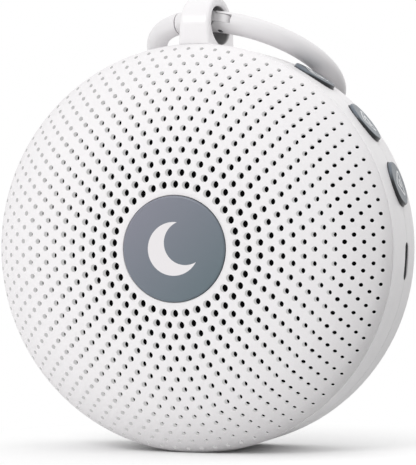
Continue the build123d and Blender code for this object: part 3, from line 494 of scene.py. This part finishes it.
def rounded(corners, radius):
    """A closed polygon, given anticlockwise, with round corners."""
    points = []
    count = len(corners)
    for i in range(count):
        here = Vector(corners[i])
        to_last = (Vector(corners[i - 1]) - here).normalized()
        to_next = (Vector(corners[(i + 1) % count]) - here).normalized()
        half = to_last.angle(to_next) / 2
        centre = here + (to_last + to_next).normalized() * (radius / math.sin(half))
        start = here + to_last * (radius / math.tan(half)) - centre
        sweep = math.pi - 2 * half
        for j in range(CORNER_STEPS + 1):
            a = math.atan2(start.y, start.x) + sweep * j / CORNER_STEPS
            points.append(centre + radius * Vector((math.cos(a), math.sin(a))))
    return points


def triangle(size, y):
    """Triangle that points to the front, its middle at a depth y on the button."""
    front, back = y - TRIANGLE_FRONT * size, y + TRIANGLE_BACK * size
    half = TRIANGLE_HALF * size
    return rounded([(0, front), (half, back), (-half, back)], TRIANGLE_ROUND * size)


def make_icon(name, outlines, angle):
    """Printed line icon on a button: a thin closed strip along each outline, given on the button's face."""
    shell = Shell()
    place = rim_place(angle, BUTTON_TOP)
    half, foot, top = ICON_LINE / 2, -ICON_SUNK, ICON_THICKNESS - ICON_SUNK
    for outline in outlines:
        count = len(outline)
        loops = [[], [], [], []]
        for i, p in enumerate(outline):
            ahead = (outline[(i + 1) % count] - outline[i - 1]).normalized()
            side = Vector((-ahead.y, ahead.x))
            for loop, offset, height in zip(loops, (half, half, -half, -half), (foot, top, top, foot)):
                spot = p + side * offset
                loop.append(shell.point(place @ Vector((spot.x, spot.y, height))))
        shell.tube(loops)
    return shell.build(name)


def make_icons():
    """The three buttons' icons, each riding on its button."""
    icons = []
    for name, angle in BUTTONS:
        outlines = [triangle(size, y) for size, y in ICON_TRIANGLES[name]]
        icon = make_icon(name + "_icon", outlines, angle)
        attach(icon, name + "_button")
        icons.append(icon)
    return icons


def slot_outline(half_length, half_width, inset):
    """Points round a slot with round ends, made narrower by the inset."""
    outline = []
    for sign in (1, -1):
        for k in range(INLET_SHADE_END_POINTS):
            a = math.pi * k / (INLET_SHADE_END_POINTS - 1) - sign * math.pi / 2
            along = sign * (half_length - half_width) + (half_width - inset) * math.cos(a)
            outline.append((along, (half_width - inset) * math.sin(a)))
    return outline


def make_inlet_painted_shade():
    """Dark sleeve in the slot in front of the USB-C shell, put there as painted shade."""
    shell = Shell()
    place = rim_place(USB_ANGLE, 0.0)
    outer = [(0.0, INLET_SHADE_BACK), (0.0, INLET_SHADE_FRONT)]
    inner = [(INLET_SHADE_WALL, INLET_SHADE_FRONT), (INLET_SHADE_WALL, INLET_SHADE_BACK)]
    loops = []
    for inset, reach in outer + inner:
        outline = slot_outline(INLET_SHADE_LENGTH / 2, INLET_SHADE_WIDTH / 2, inset)
        loops.append([shell.point(place @ Vector((x, y, reach))) for x, y in outline])
    shell.tube(loops)
    return shell.build("inlet_painted_shade")


# ---------------------------------------------------------------- node trees
class Nodes:
    """A node tree, with short calls to add nodes. An input takes a constant or another node's output."""

    def __init__(self, tree):
        self.tree = tree

    def feed(self, socket, value):
        if isinstance(value, bpy.types.NodeSocket):
            self.tree.links.new(value, socket)
        else:
            socket.default_value = value

    def add(self, kind, inputs=None, **settings):
        node = self.tree.nodes.new(kind)
        for key, value in settings.items():
            setattr(node, key, value)
        for key, value in (inputs or {}).items():
            self.feed(node.inputs[key], value)
        return node

    def maths(self, operation, *inputs):
        return self.add("ShaderNodeMath", dict(enumerate(inputs)), operation=operation).outputs["Value"]

    def on_vectors(self, operation, *inputs):
        return self.add("ShaderNodeVectorMath", dict(enumerate(inputs)), operation=operation)

    def vector(self, operation, *inputs):
        """The vector that an operation on vectors gives."""
        return self.on_vectors(operation, *inputs).outputs["Vector"]

    def measure(self, operation, *inputs):
        """The number that an operation on vectors gives."""
        return self.on_vectors(operation, *inputs).outputs["Value"]

    def spread(self, value, low, high, from_low=0.0, from_high=1.0, easing="LINEAR"):
        """From low, where the value is from_low or less, to high, where it is from_high or more."""
        inputs = {"Value": value, "From Min": from_low, "From Max": from_high, "To Min": low, "To Max": high}
        return self.add("ShaderNodeMapRange", inputs, interpolation_type=easing).outputs["Result"]

    def seen(self):
        """1 for what the camera sees, directly or in a gloss, and 0 for all other light."""
        path = self.add("ShaderNodeLightPath")
        return self.maths("MAXIMUM", path.outputs["Is Camera Ray"], path.outputs["Is Glossy Ray"])


class Graph(Nodes):
    """The node tree of a new material."""

    def __init__(self, name):
        self.material = bpy.data.materials.new(name)
        self.material.use_nodes = True
        super().__init__(self.material.node_tree)
        self.shader = self.tree.nodes["Principled BSDF"]
        coordinates = self.add("ShaderNodeTexCoord")
        self.place = coordinates.outputs["Object"]
        self.facing = coordinates.outputs["Normal"]

    def noise(self, scale, detail=3.0, roughness=0.55, place=None):
        inputs = {"Vector": place or self.place, "Scale": scale, "Detail": detail, "Roughness": roughness}
        return self.add("ShaderNodeTexNoise", inputs).outputs["Fac"]

    def uneven(self, noise, low, high):
        """A roughness from low to high that follows a noise."""
        return self.spread(noise, low, high, NOISE_LOW, NOISE_HIGH)

    def waves(self, direction, pitch):
        inputs = {"Vector": self.place, "Scale": WAVE_LENGTH / pitch}
        wave = self.add("ShaderNodeTexWave", inputs, wave_type="BANDS", bands_direction=direction)
        return wave.outputs["Fac"]

    def blend(self, factor, dark, light):
        inputs = {"Factor": factor, MIX_COLOURS[0]: (*dark, 1.0), MIX_COLOURS[1]: (*light, 1.0)}
        return self.add("ShaderNodeMix", inputs, data_type="RGBA").outputs[MIX_RESULT]

    def bump(self, height, distance, normal=None):
        node = self.add("ShaderNodeBump", {"Height": height, "Distance": distance, "Strength": 1.0})
        if normal:
            self.feed(node.inputs["Normal"], normal)
        return node.outputs["Normal"]

    def surface(self, **inputs):
        """Feed the shader's sockets, named with underscores for spaces, and return the material."""
        for key, value in inputs.items():
            self.feed(self.shader.inputs[key.replace("_", " ")], value)
        return self.material


# ---------------------------------------------------------------- materials
def shade(colour, factor):
    return tuple(c * factor for c in colour)


def moulded(name, colour, roughness=0.45, grain=2500.0, depth=0.01 * MM, variation=0.03, coat=0.0):
    """Moulded plastic or rubber: faint mottling, a fine moulded grain and uneven gloss."""
    g = Graph(name)
    dark, light = shade(colour, 1 - variation), shade(colour, 1 + variation / 3)
    return g.surface(
        Base_Color=g.blend(g.noise(MOTTLE_SCALE), dark, light),
        Roughness=g.uneven(g.noise(GLOSS_SCALE), roughness - GLOSS_SPREAD, roughness + GLOSS_SPREAD),
        Normal=g.bump(g.noise(grain, FINE_DETAIL), depth),
        Coat_Weight=coat,
        Coat_Roughness=0.25,
    )


def sparked(name, colour, roughness, cell=0.32 * MM, depth=0.02 * MM, variation=0.035):
    """Spark-eroded plastic: fine rounded pits over a faint noise."""
    g = Graph(name)
    pits = g.add("ShaderNodeTexVoronoi", {"Vector": g.place, "Scale": 1 / cell}, feature="SMOOTH_F1")
    fine = g.noise(SPECKLE_WAVES / cell, roughness=FINE_ROUGHNESS)
    speckle = g.spread(fine, 0.0, 1.0, SPECKLE_LOW, SPECKLE_HIGH)
    pitted = g.bump(pits.outputs["Distance"], depth)
    return g.surface(
        Base_Color=g.blend(speckle, shade(colour, 1 - variation), colour),
        Roughness=g.uneven(fine, roughness - 0.04, roughness + 0.06),
        Normal=g.bump(fine, depth * SPECKLE_DEPTH, normal=pitted),
    )


def hole_wall_painted_glow():
    """Thin plastic between the holes: dark, with an even painted glow that stands in for the light that falls
    on it and soaks through it.
    """
    return Graph("hole_wall_painted_glow").surface(
        Base_Color=(*WALL_TINT, 1.0),
        Roughness=0.8,
        Emission_Color=(*WALL_PAINTED_GLOW_TINT, 1.0),
        Emission_Strength=WALL_PAINTED_GLOW,
        Specular_IOR_Level=0.0,
    )


def metal(name, colour, roughness, brushing=(900.0, 60.0, 900.0), depth=0.004 * MM, variation=0.12):
    """Plated or brushed metal, with fine lines in the direction that brushing stretches the noise."""
    g = Graph(name)
    stretched = g.add("ShaderNodeMapping", {"Vector": g.place, "Scale": brushing}).outputs["Vector"]
    lines = g.noise(1.0, roughness=FINE_ROUGHNESS, place=stretched)
    return g.surface(
        Base_Color=g.blend(lines, shade(colour, 1 - variation), colour),
        Roughness=g.uneven(lines, roughness - 0.08, roughness + 0.1),
        Normal=g.bump(lines, depth),
        Metallic=1.0,
    )


def woven(name, colour, pitch=0.45 * MM, depth=0.05 * MM, gap_shade=0.45, sheen=0.2):
    """Woven cloth: two crossing sets of threads, in the plane across the body's axis."""
    g = Graph(name)
    cross = g.maths("MAXIMUM", g.waves("X", pitch), g.waves("Z", pitch))
    return g.surface(
        Base_Color=g.blend(cross, shade(colour, gap_shade), colour),
        Normal=g.bump(cross, depth),
        Roughness=0.9,
        Sheen_Weight=sheen,
        Specular_IOR_Level=sheen,
    )


def wound(name, colour, pitch=0.28 * MM, depth=0.06 * MM, gap_shade=0.5):
    """Enamelled wire wound round the body's axis."""
    g = Graph(name)
    turns = g.waves("Y", pitch)
    return g.surface(
        Base_Color=g.blend(turns, shade(colour, gap_shade), colour),
        Normal=g.bump(turns, depth),
        Metallic=0.9,
        Roughness=0.28,
        Coat_Weight=0.5,
    )


def circuit(name, colour, track, depth=0.03 * MM):
    """Solder mask with tracks that show through it."""
    g = Graph(name)
    inputs = {"Vector": g.place, "Scale": TRACK_SCALE}
    net = g.add("ShaderNodeTexVoronoi", inputs, feature="DISTANCE_TO_EDGE", distance="CHEBYCHEV")
    lines = g.spread(net.outputs["Distance"], 1.0, 0.0, TRACK_START, TRACK_END)
    return g.surface(
        Base_Color=g.blend(lines, colour, track),
        Normal=g.bump(lines, depth),
        Roughness=0.35,
        Coat_Weight=0.3,
    )


def button_with_painted_shade(name, colour, grain=1500.0, depth=0.004 * MM):
    """Satin slate rubber, with painted shade on its wall towards the housing where it faces down and to the
    front.
    """
    g = Graph(name)
    # painted shade: darkest low on the wall, where it faces down and to the front
    facing = g.measure("DOT_PRODUCT", g.facing, BUTTON_SHADE_FROM)
    lit = g.spread(facing, 1.0, 0.0, BUTTON_SHADE_START, BUTTON_SHADE_END)
    from_axis = g.vector("SUBTRACT", g.place, (0.0, 0.0, AXIS_Z))
    radius = g.measure("LENGTH", g.vector("MULTIPLY", from_axis, (1.0, 0.0, 1.0)))
    height = g.spread(radius, 0.0, 1.0, BUTTON_SHADE_LOW, BUTTON_SHADE_HIGH)
    fine = g.noise(grain, FINE_DETAIL)
    return g.surface(
        Base_Color=g.blend(g.maths("MULTIPLY", height, lit), shade(colour, BUTTON_PAINTED_SHADE), colour),
        Roughness=g.uneven(fine, 0.3, 0.42),
        Normal=g.bump(fine, depth),
        Coat_Weight=0.12,
        Coat_Roughness=0.15,
        Specular_IOR_Level=0.35,
    )


def loop_with_painted_shade(name, colour, grain=3500.0, depth=0.003 * MM):
    """Glossy white plastic, with deep shade painted inside its hole for the ring."""
    g = Graph(name)
    # painted shade inside the oval of the hole
    from_middle = g.vector("SUBTRACT", g.place, LOOP_HOLE_MIDDLE)
    oval = g.vector("MULTIPLY", from_middle, (0.0, 2 / LOOP_HOLE_DEPTH, 2 / LOOP_HOLE_HEIGHT))
    clear = g.spread(g.measure("LENGTH", oval), 0.0, 1.0, LOOP_SHADE_START, LOOP_SHADE_END)
    fine = g.noise(grain, FINE_DETAIL)
    return g.surface(
        Base_Color=g.blend(clear, shade(colour, LOOP_PAINTED_SHADE), colour),
        Roughness=g.uneven(fine, 0.28, 0.38),
        Normal=g.bump(fine, depth),
        Coat_Weight=0.3,
        Coat_Roughness=0.25,
    )


def badge_with_painted_sheen(name, colour, grain=1800.0, depth=0.004 * MM):
    """Satin slate plastic under a thin clear lacquer, with a painted sheen: lighter towards its upper left,
    darker to its lower right.
    """
    g = Graph(name)
    # painted sheen and shade: the colour runs from lighter at the upper left to darker at the lower right
    apart = g.add("ShaderNodeSeparateXYZ", {"Vector": g.place})
    lift = g.maths("SUBTRACT", apart.outputs["Z"], apart.outputs["X"])
    fade = g.spread(lift, 0.0, 1.0, AXIS_Z - BADGE_SHEEN_REACH, AXIS_Z + BADGE_SHEEN_REACH)
    dark = [c * share for c, share in zip(colour, BADGE_PAINTED_SHADE)]
    light = [c * share for c, share in zip(colour, BADGE_PAINTED_SHEEN)]
    fine = g.noise(grain, FINE_DETAIL)
    return g.surface(
        Base_Color=g.blend(fade, dark, light),
        Roughness=g.uneven(fine, 0.3, 0.42),
        Normal=g.bump(fine, depth),
        Coat_Weight=0.25,
        Coat_Roughness=0.2,
    )


def plastic(colour, roughness, **settings):
    """The finish and settings of a moulded look."""
    return moulded, dict(colour=colour, roughness=roughness, **settings)


def make_looks():
    """Material of each slot in the record."""
    designs = {
        "grille_white": (sparked, dict(colour=WHITE, roughness=0.6)),
        "badge_grey": (badge_with_painted_sheen, dict(colour=BADGE_SLATE)),
        "emblem_white": plastic(EMBLEM_WHITE, 0.35, variation=0.01),
        "cloth_black": (woven, dict(colour=(0.005, 0.005, 0.0055), sheen=0.0)),
        "housing_white": plastic(WHITE, 0.38, grain=3500.0, depth=0.003 * MM, variation=0.015, coat=0.15),
        "loop_white": (loop_with_painted_shade, dict(colour=WHITE)),
        "ring_white": plastic(RING_WHITE, 0.42, grain=3500.0, depth=0.004 * MM, variation=0.02, coat=0.1),
        "button_grey": (button_with_painted_shade, dict(colour=SLATE)),
        "zinc_steel": (metal, dict(colour=(0.62, 0.63, 0.65), roughness=0.35)),
        "pad_rubber": plastic((0.34, 0.35, 0.36), 0.85, grain=1500.0, depth=0.03 * MM),
        "basket_black": plastic((0.025, 0.025, 0.027), 0.4, grain=1800.0, depth=0.02 * MM, variation=0.1),
        "foam_black": plastic((0.025, 0.025, 0.025), 0.95, grain=1200.0, depth=0.12 * MM, variation=0.3),
        "surround_rubber": plastic((0.02, 0.02, 0.021), 0.55, grain=2000.0, depth=0.008 * MM, variation=0.1),
        "cone_paper": plastic((0.045, 0.045, 0.047), 0.8, grain=700.0, depth=0.05 * MM, variation=0.25),
        "cap_cloth": (woven, dict(colour=(0.05, 0.05, 0.052), pitch=0.35 * MM)),
        "copper": (wound, dict(colour=(0.72, 0.30, 0.13))),
        "spider_cloth": (woven, dict(colour=(0.52, 0.34, 0.10), pitch=0.5 * MM)),
        "ferrite": plastic((0.035, 0.036, 0.04), 0.5, grain=900.0, depth=0.02 * MM, variation=0.2),
        "terminal_tan": plastic((0.38, 0.25, 0.12), 0.6, grain=900.0, depth=0.02 * MM, variation=0.2),
        "board_green": (circuit, dict(colour=(0.012, 0.11, 0.045), track=(0.03, 0.2, 0.08))),
        "chip_black": plastic((0.018, 0.018, 0.02), 0.5, grain=1600.0, variation=0.1),
        "can_aluminium": (metal, dict(colour=(0.78, 0.79, 0.80), roughness=0.22)),
        "socket_white": plastic((0.72, 0.68, 0.58), 0.45),
        "inlet_steel": (metal, dict(colour=(0.58, 0.59, 0.61), roughness=0.3)),
        "inlet_dark": plastic((0.09, 0.09, 0.095), 0.5),
        "switch_black": plastic((0.02, 0.02, 0.02), 0.5),
        "plunger_white": plastic((0.7, 0.7, 0.67), 0.4),
        "battery_foil": (metal, dict(colour=(0.66, 0.67, 0.69), roughness=0.32,
                                     brushing=(150.0, 150.0, 150.0), depth=0.04 * MM)),
        "tape_grey": plastic((0.25, 0.25, 0.26), 0.9, grain=1000.0, depth=0.05 * MM, variation=0.2),
        "lead_red": plastic((0.42, 0.02, 0.02), 0.4),
        "lead_black": plastic((0.02, 0.02, 0.02), 0.4),
        "pin_steel": (metal, dict(colour=(0.68, 0.69, 0.71), roughness=0.2)),
    }
    return {name: finish(name, **settings) for name, (finish, settings) in designs.items()}


def dress(piece, *materials):
    """Give a piece these materials in place of any it has. To clear them puts all faces in the first slot."""
    if piece.data.materials:
        piece.data.materials.clear()
    for material in materials:
        piece.data.materials.append(material)


def dress_cad(looks):
    """Every CAD node takes the look of its slot, with smooth curves and crisp edges."""
    for part in frame["record"]["subparts"]:
        node = frame["nodes"][part["node"]]
        dress(node, looks[part["material_slot"]])
        node.data.polygons.foreach_set("use_smooth", [True] * len(node.data.polygons))
        node.data.set_sharp_from_angle(angle=CAD_CREASE)


# ---------------------------------------------------------------- floor, light, camera
def make_floor():
    """Matt floor that the camera sees turn to pure white away from the object's shadow."""
    shell = Shell()
    signs = ((-1, -1), (1, -1), (1, 1), (-1, 1))
    shell.face(*[shell.point((x * FLOOR_REACH, y * FLOOR_REACH, 0.0)) for x, y in signs])
    floor = shell.build("floor")
    g = Graph("floor_white")
    reach = g.measure("LENGTH", g.vector("ADD", g.place, FLOOR_SHIFT))
    away = g.spread(reach, 0.0, 1.0, FLOOR_NEAR, FLOOR_FAR, easing="SMOOTHSTEP")
    seen = g.seen()
    bright = g.spread(g.measure("DOT_PRODUCT", g.place, DULL_FROM), 1.0, 0.0, DULL_START, DULL_END)
    tint = g.blend(g.maths("MAXIMUM", bright, seen), FLOOR_DULL, FLOOR_WHITE)
    g.surface(Base_Color=tint, Roughness=0.9, Specular_IOR_Level=0.0)
    glow = g.add("ShaderNodeEmission").outputs["Emission"]
    share = g.maths("MULTIPLY", away, seen)
    mix = g.add("ShaderNodeMixShader", {0: share, 1: g.shader.outputs["BSDF"], 2: glow})
    g.feed(g.tree.nodes["Material Output"].inputs["Surface"], mix.outputs["Shader"])
    dress(floor, g.material)


def make_world():
    """White where the camera looks; elsewhere soft light from the front and a lobe of it from the right."""
    world = bpy.data.worlds.new("studio")
    bpy.context.scene.world = world
    world.use_nodes = True
    n = Nodes(world.node_tree)
    towards = n.add("ShaderNodeTexCoord").outputs["Generated"]
    front = n.measure("DOT_PRODUCT", towards, SOFT_FROM.normalized())
    soft = n.spread(front, 0.0, SOFT_LEVEL, -1.0, 1.0)
    side = n.maths("MAXIMUM", n.measure("DOT_PRODUCT", towards, SIDE_FROM.normalized()), 0.0)
    both = n.maths("MULTIPLY_ADD", n.maths("POWER", side, SIDE_POWER), SIDE_LEVEL, soft)
    back = n.tree.nodes["Background"]
    n.feed(back.inputs["Color"], (1.0, 1.0, 1.0, 1.0))
    n.feed(back.inputs["Strength"], n.spread(n.seen(), both, 1.0))


def make_key_light():
    """A large soft disk, high in front and a little to the left."""
    lamp = bpy.data.lights.new("key", "AREA")
    lamp.shape = "DISK"
    lamp.size = KEY_SIZE
    lamp.energy = KEY_POWER
    holder = bpy.data.objects.new("key", lamp)
    holder.location = KEY_PLACE
    holder.rotation_mode = "QUATERNION"
    holder.rotation_quaternion = (Vector((0.0, 0.0, AXIS_Z)) - KEY_PLACE).to_track_quat("-Z", "Y")
    bpy.context.scene.collection.objects.link(holder)


def make_camera():
    data = bpy.data.cameras.new("camera")
    data.lens = CAMERA_LENS
    data.sensor_width = CAMERA_SENSOR
    data.clip_start = CAMERA_CLIP
    camera = bpy.data.objects.new("camera", data)
    look = Vector((-math.sin(CAMERA_TURN), math.cos(CAMERA_TURN), -CAMERA_DIP))
    camera.location = CAMERA_PLACE
    camera.rotation_mode = "QUATERNION"
    camera.rotation_quaternion = look.to_track_quat("-Z", "Y")
    bpy.context.scene.collection.objects.link(camera)
    bpy.context.scene.camera = camera


# ---------------------------------------------------------------- the whole scene
def main():
    scene = bpy.context.scene
    scene.view_settings.view_transform = "Standard"
    make_camera()
    looks = make_looks()
    dress_cad(looks)
    grille = make_grille()
    dress(grille, looks["grille_white"], looks["cloth_black"], hole_wall_painted_glow())
    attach(grille, "housing")
    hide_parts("grille")
    print_white = moulded("icon_print", PRINT_WHITE, 0.4, variation=0.02)
    for icon in make_icons():
        dress(icon, print_white)
    painted_shade = make_inlet_painted_shade()
    dress(painted_shade, looks["inlet_dark"])
    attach(painted_shade, "housing")
    make_floor()
    make_world()
    make_key_light()


main()
